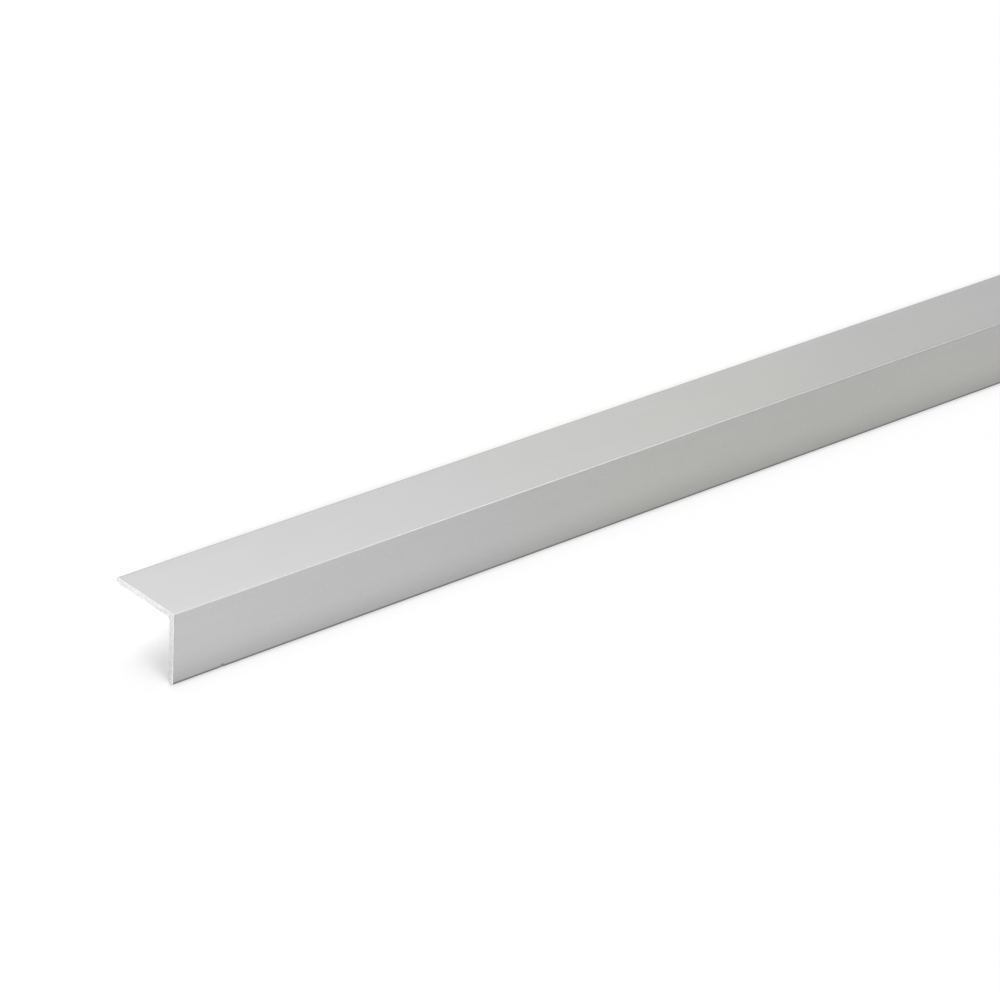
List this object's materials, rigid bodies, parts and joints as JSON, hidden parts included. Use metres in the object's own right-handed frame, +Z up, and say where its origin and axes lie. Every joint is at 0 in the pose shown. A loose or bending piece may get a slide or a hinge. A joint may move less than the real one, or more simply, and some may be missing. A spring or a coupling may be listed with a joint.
{
  "type": "stainless steel edge trim",
  "caption": "Straight unequal-leg angle trim with a sharp ridge, a rounded inside corner and square cut ends.",
  "frame": {"origin": "under the middle of the trim, on the floor it lies on", "axes": "+X along the length, +Z up from the floor to the ridge; the short leg faces -Y and the long leg +Y"},
  "size_m": [1, 0.0272, 0.0144],
  "materials": {
    "satin_steel": "satin, brushed along the length; sawn ends"
  },
  "bodies": {
    "root": {"edge_trim": "satin_steel"}
  },
  "joints": []
}
